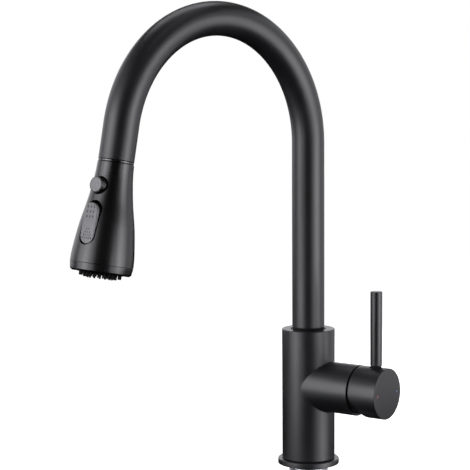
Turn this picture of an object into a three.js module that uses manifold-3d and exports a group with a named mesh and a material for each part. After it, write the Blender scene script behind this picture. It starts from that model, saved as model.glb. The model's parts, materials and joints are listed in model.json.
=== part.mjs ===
// Pull-down kitchen faucet: swivelling gooseneck spout, docked spray head with a pause button
// and a spray rocker, and a single side lever on a ceramic-disc cartridge.
// Units: millimetres. +Z is up, the deck is z = 0 and the spout reaches out along -Y.
import * as THREE from 'three';
import { mergeVertices } from 'three/addons/utils/BufferGeometryUtils.js';
import Module from 'manifold-3d';

const wasm = await Module();
wasm.setup();

// ---- driving dimensions ----------------------------------------------------------------
const DEG = Math.PI / 180;
const GAP = 0.3;                  // clearance kept between two separate pieces

const COLUMN_R = 23.0;            // body column
const COLUMN_BOTTOM = 4.9;
const COLUMN_TOP = 119.0;
const FLANGE_R = 26.8;            // base ring on the deck
const FLANGE_H = 4.6;

const TUBE_R = 14.0;              // spout tube, outside and inside
const TUBE_BORE_R = 12.0;
const TUBE_FOOT = 84.0;           // lower end of the tube inside the column
const ARCH_START = 281.0;         // height where the riser starts to bend
const ARCH_R = 103.5;             // radius of the arch's centre line
const LEAN = 11.13 * DEG;         // how far the outlet leg leans outwards
const LEG = 29.7;                 // straight leg from the arch to the dock seam

const HANDLE_TURN = 10.72 * DEG;  // handle axis, turned from +X towards +Y
const HANDLE_Z = 69.8;
const BRANCH_R = 21.8;            // valve branch and handle hub
const BRANCH_END = 52.3;
const HUB_START = 53.9;
const HUB_END = 80.25;
const HUB_BORE_R = 20.2;
const PIVOT = 52.0;               // the lever tilts about this point of the handle axis
const DOME_R = 19.7;
const DOME_MOUTH_R = 13.0;
const LEVER_AT = 69.1;            // lever's place along the handle axis
const LEVER_R = 5.0;
const LEVER_TOP = 86.7;           // above the handle axis
const RELIEF = 11.5;              // slanted cut at the hub's lower back edge

const HEAD_TURN = 12 * DEG;       // the spray head hangs turned on its hose
const HEAD_WALL = 2.2;
const HEAD_LENGTH = 79.9;         // shell, from the dock seam down
const RIM = 86.6;                 // lower edge of the bezel ring
const NOZZLE_RINGS = [[15.8, 28, 89.6], [12.4, 21, 90.4], [9.6, 14, 90.9]]; // radius, count, tip
const BUTTON_AT = 20.0;           // distance of the pause button below the seam
const BUTTON_R = 6.0;
const ROCKER_AT = 49.0;
const ROCKER_SIZE = [13.0, 31.8]; // width and length of the rocker pad
const ROCKER_SLOPE = 9.5 * DEG;   // the shell's own slope at the rocker
const ROCKER_TILT = 7.5 * DEG;    // upper end stands proud at rest
const ROCKER_PIN = 6.5;           // the pad's pin below its surface

const SHANK_R = 17.0;
const SHANK_END = -58;
const LINE_END = -84;             // supply stubs and hose are cut here, below the deck
const HOSE_R = 6.4;
const LINE_RING = 11.05;          // radius of the circle the three water lines stand on
const LINE_TURN = 50 * DEG;       // hot and cold stand this far to each side of the outlet

// ---- finishes --------------------------------------------------------------------------
const finish = (name, color, roughness, metalness) =>
  new THREE.MeshStandardMaterial({ name, color, roughness, metalness });
const BLACK = finish('matte_black', '#1b1c1e', 0.42, 0.6);
const SATIN = finish('satin_black', '#161718', 0.3, 0.0);
const PAD = finish('button_grey', '#8b8c8e', 0.6, 0.0);
const RUBBER = finish('rubber', '#141414', 0.85, 0.0);
const SILICONE = finish('nozzle_silicone', '#2c2c2e', 0.6, 0.0);
const PLASTIC = finish('inner_plastic', '#d8d6cf', 0.5, 0.0);
const DARK = finish('black_plastic', '#151516', 0.6, 0.0);
const CERAMIC = finish('ceramic', '#f1efe9', 0.2, 0.0);
const STEEL = finish('steel', '#b9bcc0', 0.3, 1.0);
const BRASS = finish('brass', '#b99a55', 0.35, 1.0);
const HOSE = finish('hose_braid', '#3a3b3e', 0.7, 0.2);
const RED = finish('hot_red', '#b3202a', 0.5, 0.0);
const BLUE = finish('cold_blue', '#2b50b8', 0.5, 0.0);

// ---- shaping helpers -------------------------------------------------------------------
// Welds a solid, drops slivers on the turning axis and turns its faces outwards.
function closed(source) {
  const loose = source.clone();
  loose.deleteAttribute('normal');
  loose.deleteAttribute('uv');
  const g = mergeVertices(loose, 1e-4);
  const p = g.attributes.position, old = g.index.array, keep = [];
  const a = new THREE.Vector3(), b = new THREE.Vector3(), c = new THREE.Vector3();
  let volume = 0;
  for (let i = 0; i < old.length; i += 3) {
    const [u, v, w] = [old[i], old[i + 1], old[i + 2]];
    if (u === v || v === w || w === u) continue;
    keep.push(u, v, w);
    a.fromBufferAttribute(p, u);
    b.fromBufferAttribute(p, v);
    c.fromBufferAttribute(p, w);
    volume += a.dot(b.cross(c));
  }
  if (volume < 0) {
    for (let i = 0; i < keep.length; i += 3) [keep[i], keep[i + 1]] = [keep[i + 1], keep[i]];
  }
  g.setIndex(keep);
  return g;
}

// A solid of revolution about +Z from [radius, height] points; ring profiles are closed.
function turned(points, segments = 28, loop = false) {
  const outline = points.map(([r, z]) => new THREE.Vector2(r, z));
  if (loop) outline.push(outline[0].clone());
  return closed(new THREE.LatheGeometry(outline, segments).rotateX(Math.PI / 2));
}

const ring = (inner, outer, low, high, segments = 24) =>
  turned([[inner, low], [outer, low], [outer, high], [inner, high]], segments, true);
const rod = (radius, low, high, segments = 24) =>
  turned([[0, low], [radius, low], [radius, high], [0, high]], segments);

function box(x, y, z) {           // three [low, high] pairs
  const g = new THREE.BoxGeometry(x[1] - x[0], y[1] - y[0], z[1] - z[0]);
  return closed(g.translate((x[0] + x[1]) / 2, (y[0] + y[1]) / 2, (z[0] + z[1]) / 2));
}

function oRing(major, minor, height, segments = 24) {
  return closed(new THREE.TorusGeometry(major, minor, 5, segments).translate(0, 0, height));
}

// A rounded slot, its straight sides along Y, from low to high along Z.
function stadium([width, length], low, high) {
  const r = width / 2, h = length / 2 - r;
  const s = new THREE.Shape();
  s.absarc(0, h, r, 0, Math.PI);
  s.absarc(0, -h, r, Math.PI, 2 * Math.PI);
  s.closePath();
  const g = new THREE.ExtrudeGeometry(s, { depth: high - low, bevelEnabled: false, curveSegments: 10 });
  return closed(g.translate(0, 0, low));
}

const arc = (r, centre, from, to, n) => Array.from({ length: n + 1 }, (_, i) => {
  const t = from + (to - from) * i / n;
  return [r * Math.sin(t), centre + r * Math.cos(t)];
});

const placed = (g, m) => g.clone().applyMatrix4(m);

function toManifold(g) {
  return new wasm.Manifold(new wasm.Mesh({
    numProp: 3,
    vertProperties: new Float32Array(g.attributes.position.array),
    triVerts: new Uint32Array(g.index.array),
  }));
}

// Joins the solids in `add`, then takes the solids in `cut` away.
function shaped(add, cut = []) {
  let m = toManifold(add[0]);
  for (const g of add.slice(1)) m = m.add(toManifold(g));
  for (const g of cut) m = m.subtract(toManifold(g));
  const out = m.getMesh();
  const g = new THREE.BufferGeometry();
  g.setAttribute('position', new THREE.BufferAttribute(new Float32Array(out.vertProperties), 3));
  g.setIndex([...out.triVerts]);
  return closed(g);
}

// ---- frames ----------------------------------------------------------------------------
// Handle frame: +Z runs out along the handle axis, +X is up, +Y faces the spout side.
function handleFrame() {
  const frame = new THREE.Group();
  const out = new THREE.Vector3(Math.cos(HANDLE_TURN), Math.sin(HANDLE_TURN), 0);
  const up = new THREE.Vector3(0, 0, 1);
  const side = new THREE.Vector3().crossVectors(out, up);
  frame.setRotationFromMatrix(new THREE.Matrix4().makeBasis(up, side, out));
  frame.position.set(0, 0, HANDLE_Z);
  frame.updateMatrix();
  return frame;
}

// Dock frame: origin on the dock seam, -Z down the outlet leg's axis.
function dockFrame(turn = 0) {
  const frame = new THREE.Group();
  const reach = ARCH_R * (1 + Math.cos(LEAN)) + LEG * Math.sin(LEAN);
  const height = ARCH_START + ARCH_R * Math.sin(LEAN) - LEG * Math.cos(LEAN);
  frame.position.set(0, -reach, height);
  frame.rotation.set(-LEAN, 0, turn);
  frame.updateMatrix();
  return frame;
}

function rockerFrame(tilt) {
  const frame = new THREE.Group();
  frame.position.set(0, -shellRadius(ROCKER_AT), -ROCKER_AT);
  frame.rotation.x = Math.PI / 2 - ROCKER_SLOPE;
  const tilted = new THREE.Group();
  tilted.position.set(0, -ROCKER_PIN * Math.sin(tilt), ROCKER_PIN * (Math.cos(tilt) - 1));
  tilted.rotation.x = tilt;
  frame.add(tilted);
  frame.updateMatrix();
  return { frame, tilted };
}

const group = new THREE.Group();
const HF = handleFrame(), DF = dockFrame(), SF = dockFrame(HEAD_TURN);
group.add(HF, DF, SF);

function put(parent, name, geometry, material) {
  const mesh = new THREE.Mesh(geometry, material);
  mesh.name = name;
  parent.add(mesh);
  return mesh;
}

// Foot of each water line, measured in the handle's directions.
const LINES = {
  hot: [LINE_RING * Math.cos(LINE_TURN), LINE_RING * Math.sin(LINE_TURN)],
  cold: [LINE_RING * Math.cos(LINE_TURN), -LINE_RING * Math.sin(LINE_TURN)],
  outlet: [LINE_RING, 0],
};
const PORT_UP = { hot: 2, cold: 2, outlet: -8.5 };   // port height about the handle axis

function lineSpot(name) {
  const [out, side] = LINES[name];
  return new THREE.Vector3(0, side, out).applyMatrix4(HF.matrix).setZ(0);
}

// ---- base and deck mounting ------------------------------------------------------------
function mounting() {
  put(group, 'base_ring', turned([[17.6, 0], [19.8, 0], [19.8, 1.5], [24.8, 1.5], [24.8, 0],
    [FLANGE_R - 0.3, 0], [FLANGE_R, 0.3], [FLANGE_R, 3.9], [FLANGE_R - 0.2, 4.4],
    [FLANGE_R - 0.7, FLANGE_H], [17.6, FLANGE_H]], 40, true), BLACK);
  put(group, 'base_gasket', ring(20.1, 24.5, 0, 1.2), RUBBER);
  put(group, 'mounting_shank', ring(15.3, SHANK_R, SHANK_END, 15.7), STEEL);
  put(group, 'deck_rubber_washer', ring(17.4, 28.5, -33, -30), RUBBER);
  put(group, 'deck_steel_washer', ring(17.4, 28.5, -35, -33.3), STEEL);
  const screwAt = [21.3, -21.3];
  put(group, 'mounting_nut', shaped([ring(17.3, 25.6, -46, -35.3)],
    screwAt.map((x) => rod(2.8, -47, -35, 12).translate(x, 0, 0))), BRASS);
  screwAt.forEach((x, i) => put(group, `clamp_screw_${i + 1}`, turned([[0, -58], [3.6, -58],
    [3.6, -54], [2.5, -54], [2.5, -35.3], [0, -35.3]], 12), STEEL).position.set(x, 0, 0));
  for (const name of ['hot', 'cold', 'outlet']) {
    const stub = turned([[2.2, LINE_END], [4.35, LINE_END], [4.35, -62], [3.6, -61], [3.6, 20.8],
      [2.2, 20.8]], 16, true);
    const label = name === 'outlet' ? 'mixed_outlet_stub' : `${name}_inlet_stub`;
    put(group, label, stub, STEEL).position.copy(lineSpot(name));
  }
}

// ---- column with its valve branch ------------------------------------------------------
function body() {
  const column = turned([[0, COLUMN_BOTTOM], [COLUMN_R - 0.8, COLUMN_BOTTOM],
    [COLUMN_R, COLUMN_BOTTOM + 0.8], [COLUMN_R, COLUMN_TOP - 0.8], [COLUMN_R - 0.8, COLUMN_TOP],
    [0, COLUMN_TOP]], 48);
  const branch = placed(turned([[0, 0], [BRANCH_R, 0], [BRANCH_R, BRANCH_END - 0.4],
    [BRANCH_R - 0.4, BRANCH_END], [0, BRANCH_END]], 48), HF.matrix);
  const cuts = [
    rod(15.2, TUBE_FOOT - 2, COLUMN_TOP + 1, 40),           // swivel bore
    rod(HOSE_R + 0.5, 15, TUBE_FOOT, 24),                   // hose passage
    rod(SHANK_R + GAP, COLUMN_BOTTOM - 1, 16, 32),          // shank socket
    placed(rod(18.0, 26, BRANCH_END + 1, 40), HF.matrix),   // cartridge bore
    placed(rod(20.0, 49.3, BRANCH_END + 1, 40), HF.matrix), // seat of the dome cover
    rod(2.2, 12, 26, 12).rotateX(-Math.PI / 2).translate(0, 0, 100),
  ];
  for (const name of ['hot', 'cold', 'outlet']) {
    const spot = lineSpot(name), [out, side] = LINES[name], up = PORT_UP[name];
    cuts.push(rod(3.85, 15, 21.2, 16).translate(spot.x, spot.y, 0));
    cuts.push(rod(3.2, 15, HANDLE_Z + up + 2.4, 16).translate(spot.x, spot.y, 0));
    cuts.push(placed(rod(3.2, out, 27, 16).translate(up, side, 0), HF.matrix));
  }
  put(group, 'faucet_body', shaped([column, branch], cuts), BLACK);
  put(group, 'upper_swivel_bush', ring(14.25, 15.0, 108, 118.5), DARK);
  put(group, 'lower_swivel_bush', ring(14.25, 15.0, 86, 92), DARK);
  put(group, 'swivel_set_screw', rod(1.9, 13.45, 22.4, 12), STEEL).rotation.x = -Math.PI / 2;
  group.getObjectByName('swivel_set_screw').position.z = 100;
}

// ---- ceramic cartridge in the branch ---------------------------------------------------
function cartridge() {
  const names = ['hot', 'cold', 'outlet'];
  const at = (name, g) => g.translate(PORT_UP[name], LINES[name][1], 0);
  const housing = turned([[0, 26.3], [17.6, 26.3], [17.6, 49], [8.3, 49], [8.3, 46.7], [14.5, 46.7],
    [14.5, 29.3], [0, 29.3]]);
  put(HF, 'cartridge_housing', shaped([housing], names.flatMap((n) =>
    [at(n, rod(3.2, 26, 30, 16)), at(n, rod(5.0, 26, 27.9, 16))])), PLASTIC);
  for (const n of names) put(HF, `${n}_port_seal`, at(n, oRing(4.1, 0.6, 27.0, 16)), RUBBER);
  put(HF, 'fixed_ceramic_disc', shaped([rod(14.2, 29.6, 32.6)],
    names.map((n) => at(n, rod(2.8, 29, 33, 16)))), CERAMIC);
  put(HF, 'moving_ceramic_disc', shaped([rod(9.8, 32.9, 35.9)],
    [box([-3, 3], [-6, 6], [32, 34.4])]), CERAMIC);
  put(HF, 'disc_carrier', shaped([rod(9.4, 36.2, 43.1)], [rod(3.2, 38.4, 44, 16)]), PLASTIC);
  put(HF, 'lever_driver', shaped([rod(13.5, 43.5, 46.3), rod(8.0, 46, 57)],
    [box([-9.2, 9.2], [-4.3, 4.3], [43, 58]), across(1.7, 10)]), PLASTIC);
  put(HF, 'driver_pin', across(1.5, 7.5), STEEL);
  put(HF, 'cartridge_nut', shaped([ring(9.6, 17.7, 49.3, 52.1)],
    [box([-19, 19], [-2, 2], [51, 53])]), BRASS);
  const mouth = Math.asin(DOME_MOUTH_R / DOME_R);
  put(HF, 'dome_cover', turned([...arc(DOME_R, PIVOT, mouth, Math.PI / 2, 5), [DOME_R, 49.7],
    [DOME_R - 1.2, 49.7], ...arc(DOME_R - 1.2, PIVOT, Math.PI / 2, mouth, 5)], 32, true), BLACK);
}

// A pin along the handle frame's Y, through the tilt centre.
const across = (radius, half) => rod(radius, -half, half, 12).rotateX(Math.PI / 2).translate(0, 0, PIVOT);

// ---- handle ----------------------------------------------------------------------------
function handle() {
  const stem = turned([[0, 38.9], ...arc(2.6, 41.5, Math.PI * 0.85, Math.PI * 0.35, 4), [2.2, 43],
    [2.2, 45.2], [3.9, 46], [3.9, 75.6], [0, 75.6]], 20);
  put(HF, 'lever_stem', shaped([stem], [across(1.8, 6)]), STEEL);

  const shell = turned([[0, 75.9], [4.2, 75.9], [4.2, 72.9], [7, 72.9], [7, 76.5], [19, 76.5],
    [HUB_BORE_R, 75.3], [HUB_BORE_R, HUB_START], [BRANCH_R - 0.4, HUB_START],
    [BRANCH_R, HUB_START + 0.4], [BRANCH_R, HUB_END - 0.9], [BRANCH_R - 0.9, HUB_END],
    [0, HUB_END]], 48);
  const slant = new THREE.Shape([[0, 0], [-23, 0], [-23, RELIEF * 23 / BRANCH_R]]
    .map(([x, z]) => new THREE.Vector2(x, z + HUB_START - 0.01)));
  const relief = new THREE.ExtrudeGeometry(slant, { depth: 46, bevelEnabled: false })
    .rotateX(Math.PI / 2).translate(0, 23, 0);
  const upright = (g) => g.rotateY(Math.PI / 2).translate(0, 0, LEVER_AT);
  const mark = (side, r, low, high) => rod(r, low, high, 16).translate(0, side * 15.7, 0);
  put(HF, 'handle_hub', shaped([shell, upright(rod(6.5, 17.1, 20.6, 24))], [
    closed(relief),
    upright(rod(3.3, 15, 22, 16)),
    upright(rod(LEVER_R + 0.6, 20.8, 23, 24)),
    rod(1.6, 4, 23, 12).rotateY(-Math.PI / 2).translate(0, 0, 74.6),
    mark(1, 1.25, 79.4, 81), mark(-1, 1.25, 79.4, 81),
  ]), BLACK);
  put(HF, 'lever_rod', upright(turned([[0, 16.5], [3, 16.5], [3, 23.2], [LEVER_R - 0.4, 23.2],
    [LEVER_R, 23.6], [LEVER_R, LEVER_TOP - 0.6], [LEVER_R - 0.6, LEVER_TOP], [0, LEVER_TOP]],
  24)), BLACK);
  put(HF, 'lever_washer', upright(ring(3.3, LEVER_R - 0.5, 21.1, 22.9)), RUBBER);
  put(HF, 'handle_set_screw', rod(1.35, 4.3, 8.3, 12).rotateY(-Math.PI / 2).translate(0, 0, 74.6), STEEL);
  put(HF, 'hot_mark', mark(1, 1.0, 79.7, HUB_END + 0.05), RED);
  put(HF, 'cold_mark', mark(-1, 1.0, 79.7, HUB_END + 0.05), BLUE);
}

// ---- spout -----------------------------------------------------------------------------
// Stations of the gooseneck's centre line: [reach, height, turn from straight up].
function gooseneck(foot, end, arcSteps = 28) {
  const stations = [[0, foot, 0]];
  const turn = Math.PI - LEAN;
  for (let i = 0; i <= arcSteps; i++) {
    const a = turn * i / arcSteps;
    stations.push([ARCH_R * (1 - Math.cos(a)), ARCH_START + ARCH_R * Math.sin(a), a]);
  }
  const [reach, height] = stations.at(-1);
  stations.push([reach + end * Math.sin(LEAN), height - end * Math.cos(LEAN), turn]);
  return stations;
}

// A pipe with a through bore along the stations, in the plane x = 0.
function pipe(stations, outer, inner, segments) {
  const points = [], faces = [];
  for (const [reach, height, a] of stations) {
    for (const r of [outer, inner]) {
      for (let k = 0; k < segments; k++) {
        const t = 2 * Math.PI * k / segments;
        const inPlane = r * Math.cos(t);
        points.push(r * Math.sin(t), -reach + inPlane * Math.cos(a), height + inPlane * Math.sin(a));
      }
    }
  }
  const id = (i, wall, k) => (2 * i + wall) * segments + (k % segments);
  const quad = (a, b, c, d) => faces.push(a, b, c, a, c, d);
  const last = stations.length - 1;
  for (let k = 0; k < segments; k++) {
    for (let i = 0; i < last; i++) {
      quad(id(i, 0, k), id(i + 1, 0, k), id(i + 1, 0, k + 1), id(i, 0, k + 1));
      quad(id(i, 1, k + 1), id(i + 1, 1, k + 1), id(i + 1, 1, k), id(i, 1, k));
    }
    quad(id(0, 0, k + 1), id(0, 1, k + 1), id(0, 1, k), id(0, 0, k));
    quad(id(last, 0, k), id(last, 1, k), id(last, 1, k + 1), id(last, 0, k + 1));
  }
  const g = new THREE.BufferGeometry();
  g.setAttribute('position', new THREE.Float32BufferAttribute(points, 3));
  g.setIndex(faces);
  return closed(g);
}

function spout() {
  const screwGroove = ring(13.2, 15, 97.6, 102.4);
  const sealGroove = ring(13.0, 15, COLUMN_TOP - 0.2, COLUMN_TOP + 1.5);
  put(group, 'spout_tube', shaped([pipe(gooseneck(TUBE_FOOT, LEG - 1.1), TUBE_R, TUBE_BORE_R, 24)],
    [screwGroove, sealGroove]), BLACK);
  put(group, 'spout_dust_seal', ring(13.2, 13.7, COLUMN_TOP, COLUMN_TOP + 1.3), RUBBER);
  put(group, 'spout_seal_upper', oRing(14.6, 0.45, 105.5, 24), RUBBER);
  put(group, 'spout_seal_lower', oRing(14.6, 0.45, 94.5, 24), RUBBER);
  put(group, 'spray_hose', pipe(gooseneck(LINE_END, LEG - 20), HOSE_R, 4.2, 10), HOSE);
  put(DF, 'dock_guide', turned([[7.5, 24], [11.7, 24], [11.7, 0.8], [13.4, 0.8], [13.7, 0.5],
    [13.7, -0.2], [13.4, -0.5], [10.7, -0.5], [10.4, -0.2], [10.4, 20], [7.5, 20]], 28, true), DARK);
  put(DF, 'dock_magnet', ring(7.6, 10.1, 15.6, 19.7, 24), STEEL);
}

// ---- spray head ------------------------------------------------------------------------
const SHELL = new THREE.SplineCurve([[14.2, 0], [14.9, 12], [17.45, 30], [21.45, 50], [24.1, 70],
  [24.6, HEAD_LENGTH]].map(([r, s]) => new THREE.Vector2(r, s)));

function shellRadius(below) {
  const points = SHELL.getPoints(4000);
  const i = points.findIndex((p) => p.y >= below);
  return points[Math.max(i, 0)].x;
}

function sprayHead() {
  const down = (points) => points.map(([r, s]) => [r, -s]);
  const outside = SHELL.getPoints(9).slice(1).map((p) => [p.x, p.y]);
  const inside = outside.filter(([, s]) => s > 6).map(([r, s]) => [r - HEAD_WALL, s]).reverse();
  const shell = turned(down([[13.7, 0.8], [14.25, 1.3], ...outside, ...inside,
    [12.2, 3.0], [10.5, 3.0], [10.5, 0.8]]), 40, true);
  const towardsFront = (g) => g.rotateX(Math.PI / 2).translate(0, 0, -BUTTON_AT);
  const { frame, tilted } = rockerFrame(ROCKER_TILT);
  const slot = placed(stadium([ROCKER_SIZE[0] + 2.2, ROCKER_SIZE[1] + 3.6], -7, 6), frame.matrix);
  const hole = towardsFront(rod(BUTTON_R + 1.2, 10, 24, 32));
  put(SF, 'head_shell', shaped([shell], [hole, slot]), SATIN);

  put(SF, 'docking_collar', turned(down([[7.7, -13.8], [10.1, -13.8], [10.1, 3.3], [11.8, 3.3],
    [11.8, 5], [7.7, 5]]), 28, true), DARK);
  put(SF, 'dock_strike_ring', ring(7.9, 10.0, 14.1, 15.2, 24), STEEL);
  put(SF, 'hose_ferrule', ring(4.2, 6.9, -5.2, 19.6, 20), STEEL);
  put(SF, 'hose_nut', closed(ring(4.2, 8.6, -11.7, -5.6, 6)), BRASS);
  put(SF, 'waterway_core', turned(down([[4, 12.9], [6.3, 12.9], [6.3, 60], [18, 69], [18, 74],
    [4, 74]]), 28, true), DARK);
  put(SF, 'check_valve', turned(down([[0, 32], [2.2, 30], [3.6, 26], [3.6, 18], [0, 18]]), 16), PLASTIC);
  put(SF, 'flow_plate', shaped([ring(3, 21.7, -80.0, -74.5, 32)],
    aroundAxis(12, 8).map(([x, y]) => rod(1.8, -81, -74, 8).translate(x, y, 0))), DARK);
  put(SF, 'bezel_ring', turned(down([[24.5, 80.3], [24.4, 81], [23.7, 85.4], [21.9, RIM],
    [18.4, RIM], [17.9, 86.1], [17.9, 80.3]]), 40, true), SATIN);

  const nozzles = NOZZLE_RINGS.flatMap(([radius, count, tip]) => {
    const nozzle = turned(down([[0, 86], [1.0, 86], [0.6, tip], [0, tip]]), 5);
    return aroundAxis(radius, count).map(([x, y]) => nozzle.clone().translate(x, y, 0));
  });
  put(SF, 'nozzle_mat', shaped([ring(8.2, 17.6, -86.8, -80.6, 28), ...nozzles]), SILICONE);
  put(SF, 'aerator_core', turned(down([[0, 80.6], [7.8, 80.6], [7.8, 87.2], [7, 88.0],
    [0, 88.0]]), 24), SILICONE);

  put(SF, 'pause_button', towardsFront(turned([[0, 9.6], [7.9, 9.6], [7.9, 11.0], [BUTTON_R, 11.0],
    [BUTTON_R, 19.8], [BUTTON_R - 0.5, 20.3], [0, 20.3]], 28)), PAD);

  SF.add(frame);
  const pin = (r, half) => rod(r, -half, half, 12).rotateY(Math.PI / 2).translate(0, 0, -ROCKER_PIN);
  put(tilted, 'spray_rocker', shaped([stadium(ROCKER_SIZE, -3.4, 0.6),
    box([-2.7, 2.7], [-3, 3], [-9, -3])], [pin(1.55, 6)]), PAD);
  put(frame, 'rocker_pin', pin(1.3, 5.3), STEEL);
  put(frame, 'rocker_bracket', shaped([box([-7, 7], [-6, 6], [-12.4, -10]),
    box([3.1, 5.4], [-3, 3], [-11, -4.7]), box([-5.4, -3.1], [-3, 3], [-11, -4.7])],
  [pin(1.55, 7)]), DARK);
}

// n points on a circle about the axis.
function aroundAxis(radius, n) {
  return Array.from({ length: n }, (_, i) =>
    [radius * Math.cos(2 * Math.PI * i / n), radius * Math.sin(2 * Math.PI * i / n)]);
}

mounting();
body();
cartridge();
handle();
spout();
sprayHead();

export default group;
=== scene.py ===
"""Looks of the pull-down kitchen faucet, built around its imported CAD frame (Blender 4.5).

Units are metres. Lengths written in millimetres are multiplied by MM where they are used.
+Z is up, the deck is z = 0, the spout reaches out along -Y and the handle points to +X.
"""
import json
import math

import bmesh
import bpy
from mathutils import Matrix, Vector


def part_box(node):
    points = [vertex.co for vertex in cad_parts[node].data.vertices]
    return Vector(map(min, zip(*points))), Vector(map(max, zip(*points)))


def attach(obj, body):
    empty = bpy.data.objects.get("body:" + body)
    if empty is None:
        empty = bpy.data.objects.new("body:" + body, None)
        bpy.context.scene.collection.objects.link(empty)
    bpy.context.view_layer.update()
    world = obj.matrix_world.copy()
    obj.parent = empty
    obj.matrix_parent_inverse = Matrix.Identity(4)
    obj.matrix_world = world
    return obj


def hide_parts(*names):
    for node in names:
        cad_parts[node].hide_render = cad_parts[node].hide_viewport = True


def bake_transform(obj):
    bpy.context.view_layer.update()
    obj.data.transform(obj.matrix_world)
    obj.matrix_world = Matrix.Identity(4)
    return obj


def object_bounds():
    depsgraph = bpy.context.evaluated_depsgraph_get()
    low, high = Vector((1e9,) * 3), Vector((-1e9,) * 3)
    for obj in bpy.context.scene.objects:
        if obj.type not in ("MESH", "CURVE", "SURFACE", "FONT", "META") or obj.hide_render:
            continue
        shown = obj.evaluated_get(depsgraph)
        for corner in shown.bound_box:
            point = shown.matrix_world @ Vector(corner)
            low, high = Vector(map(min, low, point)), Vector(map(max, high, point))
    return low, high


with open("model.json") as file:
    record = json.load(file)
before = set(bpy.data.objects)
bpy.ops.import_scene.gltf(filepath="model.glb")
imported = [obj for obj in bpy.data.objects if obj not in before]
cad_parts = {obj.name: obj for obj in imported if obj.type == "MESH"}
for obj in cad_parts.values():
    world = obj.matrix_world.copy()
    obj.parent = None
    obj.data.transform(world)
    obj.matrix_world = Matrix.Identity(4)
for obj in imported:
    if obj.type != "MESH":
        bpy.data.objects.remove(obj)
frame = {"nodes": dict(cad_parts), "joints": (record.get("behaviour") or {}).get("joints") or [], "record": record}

CAD_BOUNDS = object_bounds()

MM = 0.001
UP = Vector((0, 0, 1))
JOINTS = {j["name"]: j for j in frame["joints"]}

# ---- sizes, in millimetres, where the frame doesn't give them --------------------------
TUBE_R, TUBE_BORE_R = 14.0, 12.0
TUBE_FOOT = 84.0
SEAL_GROOVE, SEAL_GROOVE_R = (-0.2, 1.5, 2.0), 13.0     # low, high and cone's end, about COLUMN_TOP
ARCH_START, ARCH_R = 281.0, 103.5
LEG = 29.7                              # straight outlet leg, down to the dock seam
NECK_GAP = 1.1                          # open seam between the neck's end and the head
HOSE_R, HOSE_BORE_R = 6.4, 4.2
STRETCH_TOP, STRETCH_END = 28.0, 20.0   # stretching end of the hose, above the dock seam
LOWEST = -84.0                          # cut ends of the hose and the supply lines
HEAD_SHELL = [(14.2, 0), (14.9, 12), (17.45, 30), (21.45, 50), (24.1, 70), (24.6, 79.9)]
HEAD_WALL = 2.2
RIM = 86.6
NOZZLE_RINGS = [(15.8, 28, 89.6), (12.4, 21, 90.4), (9.6, 14, 90.9)]   # radius, count, tip
BUTTON_AT, BUTTON_R, BUTTON_HOLE_R = 20.0, 6.0, 7.2
ROCKER_AT, ROCKER_W, ROCKER_L, ROCKER_TOP = 49.0, 13.0, 31.8, 0.65
ROCKER_SLOPE, ROCKER_TILT = math.radians(9.5), math.radians(7.5)
ROCKER_PIN = 6.5                        # depth of the pin below the pad
COLUMN_R, COLUMN_BOTTOM, COLUMN_TOP = 23.0, 4.9, 119.0
BRANCH_R, BRANCH_END = 21.8, 52.3
HUB_START, HUB_END, HUB_BORE_R = 53.9, 80.25, 20.2
LEVER_AT, LEVER_R, LEVER_TOP = 69.1, 5.0, 86.7
FLANGE_R, FLANGE_H, FLANGE_ROUND = 26.77, 4.6, 0.7
RELIEF = 11.5                           # height of the wedge cut from the hub's underside
PIVOT, DOME_R, DOME_MOUTH_R = 52.0, 19.7, 13.0
HEAD_TURN = math.radians(12)
PULL_ROOM = 150.0                       # clear air below the object, for the pulled head

# ---- camera, in metres and radians -----------------------------------------------------
CAMERA_AT, CAMERA_LOOK = (0.92996, -0.94462, 0.32824), (-0.73491, 0.67816, 0)
CAMERA_PITCH, CAMERA_ROLL = 0.0957, -0.0059
CAMERA_LENS, CAMERA_SENSOR = 117.36, 36.0        # millimetres
LIGHT_TINT = (0.96, 0.96, 1.0)
LAMP_RING = 1.3                                  # distance of most softboxes from the object


# ---- frames ----------------------------------------------------------------------------
def basis(x, y, z, origin):
    return Matrix.Translation(origin) @ Matrix((x, y, z)).transposed().to_4x4()


def handle_frame():
    """+Z along the handle axis from the riser's axis, +X up, +Y towards the spout side."""
    out = Vector(JOINTS["temp_turn"]["axis"]).normalized()
    height = JOINTS["temp_turn"]["pos_m"][2]
    return basis(UP, out.cross(UP), out, Vector((0, 0, height)))


def dock_frame(turn=0.0):
    """Origin on the dock seam, +Z back up the outlet leg; turn swings it about that axis."""
    axis = Vector(JOINTS["head_turn"]["axis"]).normalized()
    side = Vector((1, 0, 0))
    m = basis(side, axis.cross(side), axis, Vector(JOINTS["head_turn"]["pos_m"]))
    return m @ Matrix.Rotation(turn, 4, "Z")


def rocker_frame(tilt=0.0):
    """+Z out of the head shell at the rocker, +Y up along the shell."""
    place = Matrix.Translation((0, -shell_radius(ROCKER_AT) * MM, -ROCKER_AT * MM))
    lean = Matrix.Rotation(math.pi / 2 - ROCKER_SLOPE, 4, "X")
    to_pin = Matrix.Translation((0, 0, -ROCKER_PIN * MM))
    return SF @ place @ lean @ to_pin @ Matrix.Rotation(tilt, 4, "X") @ to_pin.inverted()


# ---- outlines --------------------------------------------------------------------------
def spline(points, steps):
    """Catmull-Rom curve through the points, `steps` samples to each span."""
    p = [points[0]] + list(points) + [points[-1]]
    out = []
    for i in range(len(points) - 1):
        a, b, c, d = (Vector(q) for q in p[i:i + 4])
        for k in range(steps):
            t = k / steps
            out.append(tuple(0.5 * (2 * b + (c - a) * t + (2 * a - 5 * b + 4 * c - d) * t ** 2
                                    + (3 * b - a - 3 * c + d) * t ** 3)))
    return out + [tuple(points[-1])]


def shell_radius(below):
    near = min(spline(HEAD_SHELL, 40), key=lambda q: abs(q[1] - below))
    return near[0]


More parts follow.
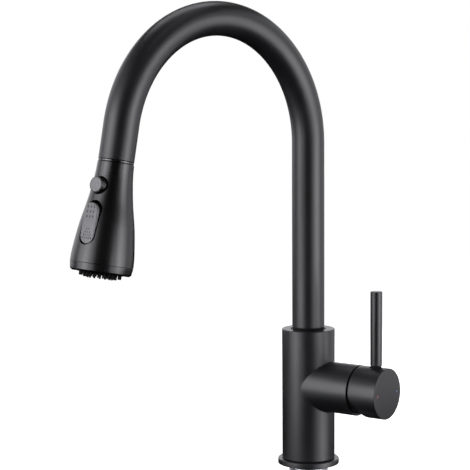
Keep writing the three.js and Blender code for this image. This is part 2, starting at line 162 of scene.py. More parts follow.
def softened(points, radius, steps=4, ring=False):
    """Rounds each corner of an outline, but for nearly straight ones, over about `radius`."""
    out, n = [], len(points)
    for i, q in enumerate(points):
        q = Vector(q)
        ends = not ring and i in (0, n - 1)
        before, after = Vector(points[i - 1]) - q, Vector(points[(i + 1) % n]) - q
        if ends or before.length < 1e-9 or after.length < 1e-9 or before.angle(after) > 2.9:
            out.append(tuple(q))
            continue
        cut = min(radius, before.length * 0.45, after.length * 0.45)
        a, b = q + before.normalized() * cut, q + after.normalized() * cut
        for k in range(steps + 1):
            t = k / steps
            out.append(tuple(a * (1 - t) ** 2 + q * 2 * t * (1 - t) + b * t ** 2))
    return out


def arc(radius, centre, start, stop, steps):
    """Points [r, z] on a circle about (0, centre), angles measured from +Z."""
    turns = [start + (stop - start) * k / steps for k in range(steps + 1)]
    return [(radius * math.sin(t), centre + radius * math.cos(t)) for t in turns]


def stadium(width, length, steps=16):
    r, h = width / 2, length / 2 - width / 2
    ends = []
    for side, centre in ((0, h), (math.pi, -h)):
        ends += [(r * math.cos(side + math.pi * k / steps),
                  centre + r * math.sin(side + math.pi * k / steps)) for k in range(steps + 1)]
    return ends


# ---- meshes ----------------------------------------------------------------------------
def new_piece(name, bm, sharp=35):
    """Makes an object of the bmesh, faces outwards, smooth but for edges over `sharp`."""
    bmesh.ops.remove_doubles(bm, verts=bm.verts, dist=1e-7)
    bmesh.ops.recalc_face_normals(bm, faces=bm.faces)
    mesh = bpy.data.meshes.new(name)
    bm.to_mesh(mesh)
    bm.free()
    mesh.shade_smooth()
    mesh.set_sharp_from_angle(angle=math.radians(sharp))
    obj = bpy.data.objects.new(name, mesh)
    bpy.context.scene.collection.objects.link(obj)
    return obj


def skin(bm, loops, wrap):
    """Quads between neighbouring loops of vertices; wrap joins the last loop to the first."""
    pairs = list(zip(loops, loops[1:] + ([loops[0]] if wrap else [])))
    for a, b in pairs:
        for k in range(len(a)):
            quad = [a[k - 1], a[k], b[k], b[k - 1]]
            face = [v for i, v in enumerate(quad) if v not in quad[:i]]
            if len(face) > 2:
                bm.faces.new(face)


def lathe(name, points, where, segments=96, ring=False, sharp=35):
    """A solid of revolution about `where`'s Z axis from [radius, height] points in mm."""
    bm = bmesh.new()
    loops = []
    for r, z in points:
        if r < 1e-6:
            loops.append([bm.verts.new(where @ Vector((0, 0, z * MM)))] * segments)
            continue
        turns = [2 * math.pi * k / segments for k in range(segments)]
        loops.append([bm.verts.new(where @ Vector((r * math.cos(t) * MM, r * math.sin(t) * MM,
                                                   z * MM))) for t in turns])
    skin(bm, loops, ring)
    return new_piece(name, bm, sharp)


def rod(name, radius, low, high, where, segments=48):
    return lathe(name, [(0, low), (radius, low), (radius, high), (0, high)], where, segments)


def prism(name, outline, low, high, where):
    """An outline in mm pulled from low to high along `where`'s Z axis."""
    bm = bmesh.new()
    loops = [[bm.verts.new(where @ Vector((x * MM, y * MM, z * MM))) for x, y in outline]
             for z in (low, high)]
    skin(bm, loops, False)
    bm.faces.new(loops[0])
    bm.faces.new(loops[1])
    return new_piece(name, bm)


def box(name, x, y, z, where):
    return prism(name, [(x[0], y[0]), (x[1], y[0]), (x[1], y[1]), (x[0], y[1])], *z, where)


def carved(piece, tools, operation="DIFFERENCE", sharp=35):
    """Cuts the tools out of the piece, or joins them to it, and removes the tools."""
    for tool in tools:
        mod = piece.modifiers.new("carve", "BOOLEAN")
        mod.operation, mod.object, mod.solver = operation, tool, "EXACT"
        mod.use_self = False
        bpy.context.view_layer.update()
        made = piece.evaluated_get(bpy.context.evaluated_depsgraph_get())
        mesh = bpy.data.meshes.new_from_object(made)
        piece.modifiers.clear()
        old, piece.data = piece.data, mesh
        bpy.data.meshes.remove(old)
        bpy.data.objects.remove(tool)
    piece.data.name = piece.name
    piece.data.shade_smooth()
    piece.data.set_sharp_from_angle(angle=math.radians(sharp))
    return piece


def joined(name, pieces):
    """One object of several separate closed meshes."""
    bm = bmesh.new()
    for p in pieces:
        bm.from_mesh(p.data)
        bpy.data.objects.remove(p)
    return new_piece(name, bm)


def gooseneck(foot, leg_end, arc_steps, leg_steps=1):
    """Stations (reach, height, turn) of the spout's centre line in mm."""
    turn = math.pi - LEAN
    stations = [(0, foot, 0)]
    for k in range(arc_steps + 1):
        a = turn * k / arc_steps
        stations.append((ARCH_R * (1 - math.cos(a)), ARCH_START + ARCH_R * math.sin(a), a))
    reach, height, _ = stations[-1]
    for k in range(1, leg_steps + 1):
        d = leg_end * k / leg_steps
        stations.append((reach + d * math.sin(LEAN), height - d * math.cos(LEAN), turn))
    return stations


def pipe(name, stations, section, segments=64):
    """Sweeps rings of radius and shift along the stations: outer skin, then back inside."""
    bm = bmesh.new()
    loops = []
    for station, radius in section(stations):
        reach, height, a = station
        loop = []
        for k in range(segments):
            t = 2 * math.pi * k / segments
            across = radius * math.cos(t)
            loop.append(bm.verts.new(Vector((radius * math.sin(t), -reach + across * math.cos(a),
                                             height + across * math.sin(a))) * MM))
        loops.append(loop)
    skin(bm, loops, True)
    return new_piece(name, bm)


def walls(outer, inner, chamfer):
    """Section for pipe(): outer wall up the stations and inner wall back, ends chamfered."""
    def along(stations):
        first, last = stations[0], stations[-1]
        return ([(first, outer - chamfer), (shifted(first, chamfer), outer)]
                + [(s, outer) for s in stations[1:-1]]
                + [(shifted(last, -chamfer), outer), (last, outer - chamfer)]
                + [(s, inner) for s in reversed(stations)])
    return along


def shifted(station, by):
    reach, height, a = station
    return (reach + by * math.sin(a), height + by * math.cos(a), a)


def threaded(name, crest, depth, inner, low, high, pitch, where, segments=48, rows=6):
    """A pipe, or a rod if inner is 0, with a helical thread cut into its outside."""
    bm = bmesh.new()
    count = int((high - low) / pitch * rows)
    loops = []
    for i in range(count + 1):
        z = low + (high - low) * i / count
        fade = min(1.0, (z - low) / pitch, (high - z) / pitch)
        loop = []
        for k in range(segments):
            phase = (z / pitch + k / segments) % 1.0
            tooth = abs(2 * phase - 1)
            r = crest - depth * (1 - fade * min(1.0, tooth * 1.4))
            t = 2 * math.pi * k / segments
            loop.append(bm.verts.new(where @ (Vector((r * math.cos(t), r * math.sin(t), z)) * MM)))
        loops.append(loop)
    if inner:
        for z in (high, low):
            turns = [2 * math.pi * k / segments for k in range(segments)]
            loops.append([bm.verts.new(where @ (Vector((inner * math.cos(t), inner * math.sin(t),
                                                        z)) * MM)) for t in turns])
        skin(bm, loops, True)
    else:
        skin(bm, loops, False)
        bm.faces.new(loops[0])
        bm.faces.new(loops[-1])
    return new_piece(name, bm, 60)


def around(radius, count, start=0.0):
    """`count` places on a circle."""
    turns = [start + 2 * math.pi * k / count for k in range(count)]
    return [(radius * math.cos(t), radius * math.sin(t)) for t in turns]


# ---- materials -------------------------------------------------------------------------
class Nodes:
    """Small helper that adds and wires shader nodes."""

    def __init__(self, name):
        self.material = bpy.data.materials.new(name)
        self.material.use_nodes = True
        self.tree = self.material.node_tree
        self.shader = self.tree.nodes["Principled BSDF"]

    def add(self, kind, inputs=(), **settings):
        made = self.tree.nodes.new("ShaderNode" + kind)
        for key, value in settings.items():
            setattr(made, key, value)
        for key, value in dict(inputs).items():
            self.set(made.inputs[key], value)
        return made

    def set(self, socket, value):
        if isinstance(value, bpy.types.NodeSocket):
            self.tree.links.new(value, socket)
        else:
            socket.default_value = value

    def noise(self, scale, detail=2.0):
        place = self.add("TexCoord")
        made = self.add("TexNoise", {"Scale": scale, "Detail": detail})
        self.set(made.inputs["Vector"], place.outputs["Object"])
        return made.outputs["Fac"]

    def span(self, value, low, high, start=0.3, stop=0.7):
        made = self.add("MapRange", {"Value": value, "From Min": start, "From Max": stop,
                                     "To Min": low, "To Max": high})
        return made.outputs["Result"]

    def blend(self, factor, first, second):
        made = self.add("Mix", data_type="RGBA")
        self.set(made.inputs[0], factor)
        self.set(made.inputs[6], (*first, 1))
        self.set(made.inputs[7], (*second, 1))
        return made.outputs[2]

    def bump(self, height, strength, distance, below=None):
        made = self.add("Bump", {"Height": height, "Strength": strength, "Distance": distance})
        if below is not None:
            self.set(made.inputs["Normal"], below)
        return made.outputs["Normal"]

    def finish(self, **sockets):
        for key, value in sockets.items():
            self.set(self.shader.inputs[key.replace("_", " ")], value)
        return self.material


def powder_coat(name, dark, light, rough, grain):
    """Matte coating: fine grain in the surface, slow change of gloss and of tone."""
    n = Nodes(name)
    patches, specks = n.noise(28, 3), n.noise(grain, 2)
    return n.finish(Base_Color=n.blend(n.span(patches, 0, 1), dark, light),
                    Roughness=n.span(patches, rough - 0.03, rough + 0.03),
                    Normal=n.bump(specks, 0.12, 0.00008), IOR=1.5)


def moulded(name, dark, light, rough, grain=900, shine=0.5):
    """Moulded plastic or rubber with a fine grained skin."""
    n = Nodes(name)
    patches, specks = n.noise(60, 2), n.noise(grain, 1)
    return n.finish(Base_Color=n.blend(n.span(patches, 0, 1), dark, light),
                    Roughness=n.span(specks, rough - 0.06, rough + 0.06),
                    Normal=n.bump(specks, 0.15, 0.00006), Specular_IOR_Level=shine)


def turned_metal(name, dark, light, rough, lines=1500):
    """Bare machined metal: fine tool lines that break up the gloss."""
    n = Nodes(name)
    place = n.add("TexCoord")
    stretch = n.add("Mapping", {"Vector": place.outputs["Object"], "Scale": (0.08, 0.08, 1.0)})
    marks = n.add("TexNoise", {"Vector": stretch.outputs[0], "Scale": lines, "Detail": 2.0})
    tone = n.noise(90, 2)
    return n.finish(Base_Color=n.blend(n.span(tone, 0, 1), dark, light), Metallic=1.0,
                    Roughness=n.span(marks.outputs["Fac"], rough - 0.08, rough + 0.1),
                    Normal=n.bump(marks.outputs["Fac"], 0.2, 0.00005))


def glazed(name, dark, light, rough):
    """Smooth enamel or polished ceramic with a faint cloudiness."""
    n = Nodes(name)
    tone = n.noise(300, 3)
    return n.finish(Base_Color=n.blend(n.span(tone, 0, 1), dark, light),
                    Roughness=n.span(tone, rough - 0.03, rough + 0.05), Coat_Weight=0.3)


def braided(name, dark, light):
    """Woven hose cover: two crossing sets of strands, as colour and as relief."""
    n = Nodes(name)
    place = n.add("TexCoord")
    sets = []
    for lean in (1, -1):
        turn = n.add("Mapping", {"Vector": place.outputs["Object"],
                                 "Rotation": (0.5 * lean, 0.75 * lean, 0)})
        bands = n.add("TexWave", {"Vector": turn.outputs[0], "Scale": 190.0},
                      wave_type="BANDS", bands_direction="Z")
        sets.append(bands.outputs["Fac"])
    weave = n.add("Math", {0: sets[0], 1: sets[1]}, operation="MAXIMUM").outputs[0]
    return n.finish(Base_Color=n.blend(n.span(weave, 0, 1, 0.3, 0.9), dark, light),
                    Roughness=n.span(weave, 0.75, 0.5), Normal=n.bump(weave, 0.8, 0.0004))


def make_materials():
    return {
        "matte_black": powder_coat("matte_black", (0.004, 0.004, 0.0045), (0.007, 0.007, 0.008),
                                   0.39, 1400),
        "satin_black": powder_coat("satin_black", (0.001, 0.001, 0.0012),
                                   (0.0025, 0.0025, 0.0028), 0.29, 1700),
        "button_grey": moulded("button_grey", (0.095, 0.095, 0.098), (0.125, 0.125, 0.129), 0.45),
        "rubber": moulded("rubber", (0.002, 0.002, 0.002), (0.004, 0.004, 0.004), 0.8,
                          shine=0.2),
        "nozzle_silicone": moulded("nozzle_silicone", (0.002, 0.002, 0.002),
                                   (0.005, 0.005, 0.005), 0.16, shine=0.05),
        "mark_grey": moulded("mark_grey", (0.03, 0.03, 0.03), (0.04, 0.04, 0.04), 0.5, shine=0.3),
        "black_plastic": moulded("black_plastic", (0.002, 0.002, 0.002), (0.005, 0.005, 0.005),
                                 0.22),
        "gloss_black": moulded("gloss_black", (0.002, 0.002, 0.002), (0.005, 0.005, 0.005), 0.2,
                               shine=0.7),
        "inner_plastic": moulded("inner_plastic", (0.62, 0.60, 0.54), (0.70, 0.68, 0.62), 0.45),
        "ceramic": glazed("ceramic", (0.78, 0.77, 0.72), (0.86, 0.85, 0.80), 0.15),
        "steel": turned_metal("steel", (0.50, 0.51, 0.53), (0.62, 0.63, 0.65), 0.3),
        "brass": turned_metal("brass", (0.55, 0.39, 0.15), (0.68, 0.50, 0.22), 0.32),
        "hose_braid": braided("hose_braid", (0.015, 0.015, 0.017), (0.10, 0.10, 0.11)),
        "hot_red": glazed("hot_red", (0.16, 0.03, 0.04), (0.20, 0.045, 0.055), 0.3),
        "cold_blue": glazed("cold_blue", (0.03, 0.06, 0.15), (0.045, 0.08, 0.20), 0.3),
    }


# ---- putting pieces in place -----------------------------------------------------------
def place(piece, body, slot, *nodes, finish=None):
    """Gives a piece its finish and its body, unless it blends, and hides the CAD nodes it stands for.

    The finish is the slot's own, unless another is named.
    """
    piece.data.materials.clear()
    piece.data.materials.append(MATERIALS[finish or slot])
    if body:
        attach(piece, body)
    if nodes:
        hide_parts(*nodes)
    return piece


def build_base():
    world = Matrix.Identity(4)
    edge = [(FLANGE_R - FLANGE_ROUND + r, z) for r, z in
            arc(FLANGE_ROUND, FLANGE_H - FLANGE_ROUND, math.pi / 2, 0, 8)]
    foot = softened([(17.6, 0), (19.8, 0), (19.8, 1.5), (24.8, 1.5), (24.8, 0), (FLANGE_R, 0),
                     (FLANGE_R, 1.2)], 0.3)
    place(lathe("deck_flange", foot + edge + [(17.6, FLANGE_H)], world, 128, ring=True),
          "faucet_body", "matte_black", "base_ring")

    column = softened([(0, COLUMN_BOTTOM), (COLUMN_R, COLUMN_BOTTOM), (COLUMN_R, COLUMN_TOP),
                       (0, COLUMN_TOP)], 0.8, 6)
    branch = softened([(0, 0), (BRANCH_R, 0), (BRANCH_R, BRANCH_END), (0, BRANCH_END)], 0.4, 4)
    body = lathe("valve_body", column, world, 160)
    carved(body, [lathe("branch", branch, HF, 160)], "UNION")
    carved(body, [junction_fillet(1.3)], "UNION")
    mouth = [(0, 81), (15.2, 81), (15.2, COLUMN_TOP - 0.3), (15.4, COLUMN_TOP + 0.01),
             (15.4, COLUMN_TOP + 2), (0, COLUMN_TOP + 2)]
    carved(body, [
        lathe("cut", mouth, world, 96),
        rod("cut", 6.9, 15, 83, world, 48),
        rod("cut", 17.3, COLUMN_BOTTOM - 1, 16, world, 96),
        rod("cut", 18.0, 26, BRANCH_END + 1, HF, 96),
        rod("cut", 20.0, 49.3, BRANCH_END + 1, HF, 96),
        rod("cut", 2.2, 12, 26, Matrix.Translation((0, 0, 0.1)) @ TO_BACK, 24),
    ])
    place(body, "faucet_body", "matte_black", "faucet_body")
    bush = softened([(14.25, 108), (15, 108), (15, 117.4), (14.25, 117.4)], 0.1, 2, True)
    place(lathe("upper_bush", bush, world, 96, ring=True), "faucet_body", "rubber",
          "upper_swivel_bush")


def junction_fillet(reach, steps=160, turns=6):
    """A small fillet along the line where the branch leaves the column."""
    sunk_edge, sunk_heel = 0.04, 0.4      # how far it sinks into the walls that it joins
    bm = bmesh.new()
    loops = []
    for i in range(steps):
        a = 2 * math.pi * i / steps
        x, y = BRANCH_R * math.cos(a), BRANCH_R * math.sin(a)
        corner = Vector((x, y, math.sqrt(COLUMN_R ** 2 - y ** 2)))
        off_column = Vector((0, corner.y, corner.z)).normalized()
        off_branch = Vector((x, y, 0)).normalized()
        line = off_column.cross(off_branch).normalized()
        up_column, up_branch = line.cross(off_column), line.cross(off_branch)
        up_column *= math.copysign(reach, up_column.dot(off_branch))
        up_branch *= math.copysign(reach, up_branch.dot(off_column))
        first = corner + up_column - off_column * sunk_edge
        last = corner + up_branch - off_branch * sunk_edge
        section = [corner - (off_column + off_branch) * sunk_heel]
        for k in range(turns + 1):
            t = k / turns
            section.append(first * (1 - t) ** 2 + corner * 2 * t * (1 - t) + last * t ** 2)
        loops.append([bm.verts.new(HF @ (p * MM)) for p in section])
    skin(bm, loops, True)
    return new_piece("fillet", bm)


def build_mounting():
    world = Matrix.Identity(4)
    place(threaded("threaded_shank", 17.0, 0.75, 15.3, -58, 15.7, 1.75, world, 64), "faucet_body",
          "steel", "mounting_shank")
    for name, node, low, high, slot in (("rubber_clamp_washer", "deck_rubber_washer", -33, -30,
                                         "rubber"),
                                        ("steel_clamp_washer", "deck_steel_washer", -35, -33.3,
                                         "steel")):
        outline = softened([(17.4, low), (28.5, low), (28.5, high), (17.4, high)], 0.5, ring=True)
        place(lathe(name, outline, world, 96, ring=True), "faucet_body", slot, node)

    nut = lathe("clamp_nut", softened([(17.3, -46), (22.4, -46), (23.2, -42.5), (25.6, -42),
                                       (25.6, -35.3), (17.3, -35.3)], 0.6, ring=True), world, 96,
                ring=True)
    places = [Vector((side * 21.3 * MM, 0, 0)) for side in (1, -1)]
    cuts = [rod("cut", 2.8, -47, -35, Matrix.Translation(p), 32) for p in places]
    cuts += [rod("cut", 2.2, -47, -34, Matrix.Translation((x * MM, y * MM, 0)), 24)
             for x, y in around(26.4, 10, math.radians(18))]
    place(carved(nut, cuts), "faucet_body", "brass", "mounting_nut")
    for i, p in enumerate(places, 1):
        where = Matrix.Translation(p)
        screw = threaded("screw", 2.5, 0.3, 0, -55, -35.3, 0.8, where, 24, 5)
        head = carved(lathe("head", softened([(0, -58), (3.6, -58), (3.6, -54), (0, -54)], 0.35),
                            where, 6, sharp=20),
                      [box("cut", (-4, 4), (-0.4, 0.4), (-59, -57), where)])
        place(carved(screw, [head], "UNION"), "faucet_body", "steel", f"clamp_screw_{i}").name = \
            f"jack_screw_{i}"

    stubs = {"hot": "hot_inlet_stub", "cold": "cold_inlet_stub", "outlet": "mixed_outlet_stub"}
    for name, node in stubs.items():
        low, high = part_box(node)
        where = Matrix.Translation(((low[0] + high[0]) / 2, (low[1] + high[1]) / 2, 0))
        outline = [(2.2, LOWEST), (4.1, LOWEST), (4.1, -80.5), (3.5, -80.1), (3.5, -79.1), (4.1, -78.7),
                   (4.1, -76.5), (3.5, -76.1), (3.5, -75.1), (4.1, -74.7), (4.1, -72), (4.35, -71),
                   (4.35, -63), (3.6, -61.5), (3.6, 20.8), (2.2, 20.8)]
        place(lathe(f"{name}_line_stub", softened(outline, 0.3, 3, True), where, 40, ring=True),
              "faucet_body", "steel", node)


def build_spout():
    def section(stations):
        """The tube's walls with the seal's groove let in after the two rings of the foot."""
        rings = walls(TUBE_R, TUBE_BORE_R, 0.25)(stations)
        low, high, above = ((0, COLUMN_TOP + z, 0) for z in SEAL_GROOVE)
        rings[2:2] = [(low, TUBE_R), (low, SEAL_GROOVE_R), (high, SEAL_GROOVE_R),
                      (high, TUBE_R - 0.5), (above, TUBE_R)]
        return rings

    stations = gooseneck(TUBE_FOOT, LEG - NECK_GAP, 96)
    place(pipe("spout_neck", stations, section, 96), "spout", "matte_black", "spout_tube")
    seal = softened([(13.15, COLUMN_TOP), (13.7, COLUMN_TOP), (13.4, COLUMN_TOP + 1.3),
                     (13.15, COLUMN_TOP + 1.3)], 0.1, 3, True)
    place(lathe("dust_seal", seal, Matrix.Identity(4), 96, ring=True), "spout", "rubber",
          "spout_dust_seal")
    bush = softened([(7.5, 24), (11.7, 24), (11.7, 0.85), (13.9, 0.85), (13.9, -0.55),
                     (10.4, -0.55), (10.4, 20), (7.5, 20)], 0.25, 4, True)
    place(lathe("dock_bush", bush, DF, 128, ring=True), "spout", "black_plastic", "dock_guide",
          finish="gloss_black")

    arch_steps, leg_steps = 72, 24
    line = gooseneck(LOWEST, LEG - STRETCH_END, arch_steps, leg_steps)
    hose_wall = walls(HOSE_R, HOSE_BORE_R, 0.1)
    place(pipe("spray_hose_cover", line[:-leg_steps], hose_wall, 40), "spout", "hose_braid",
          "spray_hose")
    stretch = place(pipe("hose_stretch", line[-leg_steps - 1:], hose_wall, 40), None, "hose_braid")
    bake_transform(stretch)

    crimp = [(HOSE_BORE_R, -5.2), (6.7, -5.2), (6.9, 8)]
    for k in range(4):
        z = 9 + 2.4 * k
        crimp += [(6.9, z), (6.5, z + 0.3), (6.5, z + 0.9), (6.9, z + 1.2)]
    crimp += [(6.9, 19.6), (HOSE_BORE_R, 19.6)]
    place(lathe("crimped_ferrule", softened(crimp, 0.2, 3, True), DF, 64, ring=True), "hose_end",
          "steel", "hose_ferrule")


def build_head():
    below = lambda points: [(r, -s) for r, s in points]
    outside = spline(HEAD_SHELL, 10)
    inside = [(r - HEAD_WALL, s) for r, s in outside if s > 6][::-1]
    outline = ([(13.9, 0.8), (14.15, 0.95), (14.25, 1.4)] + outside[2:-1]
               + [(24.6, 79.75), (24.5, 79.88)] + inside
               + [(12.2, 3.0), (10.5, 3.0), (10.5, 0.8)])
    shell = lathe("spray_shell", below(outline), SF, 192, ring=True)
    button = SF @ Matrix.Translation((0, 0, -BUTTON_AT * MM)) @ TO_FRONT
    slot = prism("cut", stadium(ROCKER_W + 2.2, ROCKER_L + 3.6, 24), -7, 6, rocker_frame())
    carved(shell, [rod("cut", BUTTON_HOLE_R, 10, 24, button, 96), slot])
    place(shell, "spray_head", "satin_black", "head_shell")

    collar = softened([(7.7, 13.8), (10.1, 13.8), (10.1, 10), (9.7, 9.6), (9.7, 8), (10.1, 7.6),
                       (10.1, -3.3), (11.8, -3.3), (11.8, -5), (7.7, -5)], 0.3, 3, True)
    place(lathe("dock_collar", collar, SF, 80, ring=True), "spray_head", "black_plastic",
          "docking_collar")

    bezel = below([(24.3, 79.95), (24.5, 80.1), (23.7, 85.4), (21.9, RIM), (18.4, RIM),
                   (17.9, 86.0), (17.9, 80.0)])
    place(lathe("bezel", softened(bezel, 0.4, 4, True), SF, 160, ring=True), "spray_head",
          "satin_black", "bezel_ring")
    build_nozzles(below)

    cap = [(0, 9.6), (7.9, 9.6), (7.9, 11.0), (BUTTON_R, 11.0), (BUTTON_R, 20.1), (5.6, 20.1),
           (5.6, 19.2), (0, 19.2)]
    place(lathe("pause_cap", softened(cap, 0.2, 4), button, 96), "pause_button",
          "black_plastic", "pause_button")
    face = [(0, 19.25), (5.5, 19.25), (5.5, 20.3), (0, 20.3)]
    place(lathe("pause_face", softened(face, 0.3, 5), button, 96), "pause_button",
          "button_grey")
    build_rocker()


def build_nozzles(below):
    """Silicone spray mat with a hollow tip on each nozzle, and the aerator in its middle."""
    disc = lathe("spray_mat", softened(below([(8.2, 80.6), (17.6, 80.6), (17.6, RIM + 0.2),
                                              (8.2, RIM + 0.2)]), 0.3, 3, True), SF, 96, ring=True)
    tips = []
    for radius, count, end in NOZZLE_RINGS:
        tip = softened(below([(0, 85.4), (0.9, 85.4), (0.55, end), (0.3, end), (0.25, end - 1.2),
                              (0, end - 1.2)]), 0.12, 2)
        tips += [lathe("tip", tip, SF @ Matrix.Translation((x * MM, y * MM, 0)), 12)
                 for x, y in around(radius, count)]
    place(carved(disc, [joined("tips", tips)], "UNION"), "spray_head", "nozzle_silicone",
          "nozzle_mat")

    core = lathe("aerator", softened(below([(0, 80.6), (7.8, 80.6), (7.8, 87.2), (7.0, 88.0),
                                            (6.2, 88.0), (5.9, 87.0), (0, 87.0)]), 0.2, 3), SF, 64)
    cells = [(0, 0)] + around(1.9, 6) + around(3.7, 12)
    holes = [rod("cell", 0.7, -89, -84.3, SF @ Matrix.Translation((x * MM, y * MM, 0)), 6)
             for x, y in cells]
    place(carved(core, [joined("cells", holes)]), "spray_head", "nozzle_silicone",
          "aerator_core")


def build_rocker():
    """Crowned pad with a rounded rim, raised grip marks and the boss that holds its pin."""
    where = rocker_frame(ROCKER_TILT)
    top = ROCKER_TOP
    face = [(0, -1.6), (0, top - 0.8)]
    face += [(0.7 * (1 - math.cos(t)), top - 0.8 + 0.7 * math.sin(t)) for t in (0.4, 0.8, 1.2, 1.5)]
    face += [(1.6, top - 0.07), (3.0, top - 0.03), (4.6, top), (ROCKER_W / 2 - 0.05, top)]
    place(padded("rocker_pad", face, where), "spray_rocker", "button_grey")
    skirt = padded("rocker_skirt", [(0.05, -4.0), (0.05, -1.6)], where)
    carved(skirt, [box("boss", (-2.7, 2.7), (-3, 3), (-9, -3), where)], "UNION")
    across = where @ Matrix.Translation((0, 0, -ROCKER_PIN * MM)) @ Matrix.Rotation(
        math.pi / 2, 4, "Y")
    carved(skirt, [rod("cut", 1.55, -6, 6, across, 24)])
    place(skirt, "spray_rocker", "black_plastic", "spray_rocker")

    spray = [mark(where, 3.0 * i, 8.8 + 3.8 * j, 0.6, 1.25) for i in (-1, 0, 1)
             for j in (-1, 0, 1)]
    place(joined("spray_marks", spray), "spray_rocker", "rubber", finish="mark_grey")
    fan = [mark(where, 2.1 * (i - (count - 1) / 2), -4.6 - 2.3 * row, 0.55, 0.7)
           for row, count in enumerate((2, 3, 4, 5)) for i in range(count)]
    place(joined("stream_marks", fan), "spray_rocker", "rubber", finish="mark_grey")


def padded(name, heights, where):
    """A stadium-shaped pad built up from [inset, height] steps."""
    bm = bmesh.new()
    loops = []
    for inset, z in heights:
        outline = stadium(ROCKER_W - 2 * inset, ROCKER_L - 2 * inset, 20)
        loops.append([bm.verts.new(where @ (Vector((x, y, z)) * MM)) for x, y in outline])
    skin(bm, loops, False)
    bm.faces.new(loops[0])
    bm.faces.new(loops[-1])
    return new_piece(name, bm)


def mark(where, x, y, width, length):
    """A small dark bead set in the rocker pad, standing a little proud of it."""
    bm = bmesh.new()
    bmesh.ops.create_uvsphere(bm, u_segments=12, v_segments=8, radius=1.0)
    shape = where @ Matrix.Translation((x * MM, y * MM, (ROCKER_TOP - 0.02) * MM)) @ Matrix.Diagonal(
        (width * MM, length * MM, 0.14 * MM, 1))
    bm.transform(shape)
    return new_piece("mark", bm)


def build_handle():
    up = HF @ Matrix.Translation((0, 0, LEVER_AT * MM)) @ Matrix.Rotation(math.pi / 2, 4, "Y")
    down = HF @ Matrix.Translation((0, 0, 74.6 * MM)) @ Matrix.Rotation(-math.pi / 2, 4, "Y")
    outline = [(0, 75.9), (4.2, 75.9), (4.2, 72.9), (7, 72.9), (7, 76.5), (19, 76.5),
               (HUB_BORE_R, 75.3), (HUB_BORE_R, HUB_START), (BRANCH_R, HUB_START),
               (BRANCH_R, HUB_END), (0, HUB_END)]
    hub = lathe("handle_cap", softened(outline, 0.6, 5), HF, 160)
    carved(hub, [rod("pad", 6.5, 17.1, 20.6, up, 64)], "UNION")
    slope = RELIEF / BRANCH_R
    wedge = [(0, HUB_START - 0.01), (-23, HUB_START - 0.01), (-23, HUB_START + 23 * slope)]
    turned_wedge = HF @ Matrix(((1, 0, 0, 0), (0, 0, -1, 0), (0, 1, 0, 0), (0, 0, 0, 1)))
    marks = [HF @ Matrix.Translation((0, side * 15.7 * MM, 0)) for side in (1, -1)]
    cuts = [prism("cut", wedge, -23, 23, turned_wedge), rod("cut", 3.3, 15, 22, up, 32),
            rod("cut", LEVER_R + 0.6, 20.8, 23, up, 64), rod("cut", 1.6, 4, 23, down, 24)]
    cuts += [rod("cut", 1.25, 79.4, 81, m, 32) for m in marks]
    place(carved(hub, cuts), "handle", "matte_black", "handle_hub")

    lever = softened([(0, 16.5), (3, 16.5), (3, 23.2), (LEVER_R, 23.2), (LEVER_R, LEVER_TOP),
                      (0, LEVER_TOP)], 0.6, 6)
    place(lathe("lever", lever, up, 96), "handle", "matte_black", "lever_rod")
    seat = softened([(3.3, 21.1), (LEVER_R - 0.5, 21.1), (LEVER_R - 0.5, 22.9), (3.3, 22.9)],
                    0.3, 4, True)
    place(lathe("lever_seat", seat, up, 64, ring=True), "handle", "rubber", "lever_washer")
    for name, where, slot in (("hot_dot", marks[0], "hot_red"), ("cold_dot", marks[1],
                                                               "cold_blue")):
        dot = softened([(0, 79.7), (1.15, 79.7), (1.15, HUB_END + 0.05), (0, HUB_END + 0.1)],
                       0.2, 4)
        node = "hot_mark" if slot == "hot_red" else "cold_mark"
        place(lathe(name, dot, where, 40), "handle", slot, node)

    mouth = math.asin(DOME_MOUTH_R / DOME_R)
    dome = (arc(DOME_R, PIVOT, mouth, math.pi / 2, 24) + [(DOME_R, 49.7), (DOME_R - 1.2, 49.7)]
            + arc(DOME_R - 1.2, PIVOT, math.pi / 2, mouth, 24))
    place(lathe("bonnet", dome, HF, 128, ring=True), "faucet_body", "matte_black", "dome_cover")


def finish_cad_nodes():
    """Gives every CAD node that still shows the procedural version of its own finish."""
    slots = {s["node"]: s["material_slot"] for s in frame["record"]["subparts"]}
    for name, obj in frame["nodes"].items():
        for slot in obj.material_slots:
            slot.material = MATERIALS[slots[name]]


# ---- stage, light and camera -----------------------------------------------------------
def camera():
    """Same viewing angle as the picture: from the front right, a little above the handle."""
    data = bpy.data.cameras.new("camera")
    data.lens, data.sensor_width = CAMERA_LENS, CAMERA_SENSOR
    look = Vector(CAMERA_LOOK)
    right = look.cross(UP)
    ahead = look * math.cos(CAMERA_PITCH) - UP * math.sin(CAMERA_PITCH)
    above = look * math.sin(CAMERA_PITCH) + UP * math.cos(CAMERA_PITCH)
    x = right * math.cos(CAMERA_ROLL) + above * math.sin(CAMERA_ROLL)
    y = above * math.cos(CAMERA_ROLL) - right * math.sin(CAMERA_ROLL)
    obj = bpy.data.objects.new("camera", data)
    obj.matrix_world = basis(x, y, -ahead, Vector(CAMERA_AT))
    bpy.context.scene.collection.objects.link(obj)
    bpy.context.scene.camera = obj
    return right, look


def light(name, at, target, size, power):
    data = bpy.data.lights.new(name, "AREA")
    data.shape, data.size, data.size_y, data.energy = "RECTANGLE", size[0], size[1], power
    data.color = LIGHT_TINT
    obj = bpy.data.objects.new(name, data)
    obj.location = at
    obj.visible_camera = False
    obj.rotation_euler = (Vector(at) - Vector(target)).to_track_quat("Z", "Y").to_euler()
    bpy.context.scene.collection.objects.link(obj)
    return obj


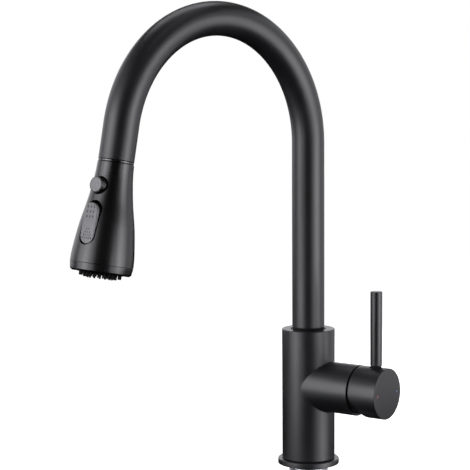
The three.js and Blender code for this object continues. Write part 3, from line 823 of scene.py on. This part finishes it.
def camera_only(tree, seen, otherwise):
    """A shader that shows one thing to the camera and another to the object's reflections."""
    ray = tree.nodes.new("ShaderNodeLightPath")
    mix = tree.nodes.new("ShaderNodeMixShader")
    tree.links.new(ray.outputs["Is Camera Ray"], mix.inputs[0])
    tree.links.new(otherwise, mix.inputs[1])
    tree.links.new(seen, mix.inputs[2])
    return mix.outputs[0]


def build_stage(right, look):
    scene = bpy.context.scene
    scene.view_settings.view_transform = "Standard"
    world = bpy.data.worlds.new("studio")
    scene.world = world
    world.use_nodes = True
    tree = world.node_tree
    white, grey = (tree.nodes.new("ShaderNodeBackground") for _ in range(2))
    white.inputs[0].default_value, white.inputs[1].default_value = (1, 1, 1, 1), 1.0
    grey.inputs[0].default_value, grey.inputs[1].default_value = (1, 1, 1, 1), 0.002
    tree.links.new(camera_only(tree, white.outputs[0], grey.outputs[0]),
                   tree.nodes["World Output"].inputs[0])

    bm = bmesh.new()
    bmesh.ops.create_grid(bm, x_segments=1, y_segments=1, size=6.0)
    floor = new_piece("floor", bm)
    floor.location = (0, 0, CAD_BOUNDS[0][2] - PULL_ROOM * MM)
    n = Nodes("floor")
    glow = n.add("Emission", {"Color": (1, 1, 1, 1), "Strength": 1.0})
    n.finish(Base_Color=(0.9, 0.9, 0.9, 1), Roughness=0.9)
    lit = n.add("AddShader", {0: glow.outputs[0], 1: n.shader.outputs[0]})
    clear = n.add("BsdfTransparent")
    n.tree.links.new(camera_only(n.tree, lit.outputs[0], clear.outputs[0]),
                     n.tree.nodes["Material Output"].inputs[0])
    floor.data.materials.append(n.material)

    middle = Vector((0, -0.08, 0.2))
    toward = -look

    def softbox(name, turn, rise, far, size, power):
        """A light at `turn` degrees round from the camera and `rise` degrees up, `far` away."""
        turn, rise = math.radians(turn), math.radians(rise)
        flat = toward * math.cos(turn) + right * math.sin(turn)
        at = middle + (flat * math.cos(rise) + UP * math.sin(rise)) * far
        light(name, at, middle, size, power)

    softbox("right_key", 60, -6, LAMP_RING, (1.5, 1.15), 15)
    softbox("left_key", -60, 6, LAMP_RING, (1.5, 1.15), 16)
    softbox("right_peak", 62, -6, LAMP_RING, (0.45, 1.1), 5.0)
    softbox("left_peak", -58, 6, LAMP_RING, (0.45, 1.1), 4.9)
    softbox("right_rim", 102, 12, LAMP_RING, (2.6, 1.5), 12)
    softbox("left_high", -78, 30, LAMP_RING, (2.0, 1.1), 4.4)
    softbox("left_low", -78, -24, LAMP_RING, (1.7, 0.9), 1.4)
    softbox("back_top", 186, 66, LAMP_RING, (0.95, 0.55), 4.3)
    softbox("front_top", 54, 66, LAMP_RING, (0.95, 0.55), 1)
    softbox("back_low", 180, 12, 2.2, (2.2, 0.9), 13)
    softbox("back_left", 230, 14, LAMP_RING, (1.0, 1.0), 4)


HF = handle_frame()
LEAN = math.asin(abs(Vector(JOINTS["head_turn"]["axis"]).normalized().y))
DF, SF = dock_frame(), dock_frame(HEAD_TURN)
TO_FRONT = Matrix.Rotation(math.pi / 2, 4, "X")
TO_BACK = Matrix.Rotation(-math.pi / 2, 4, "X")
MATERIALS = make_materials()

build_stage(*camera())
finish_cad_nodes()
build_base()
build_mounting()
build_spout()
build_head()
build_handle()
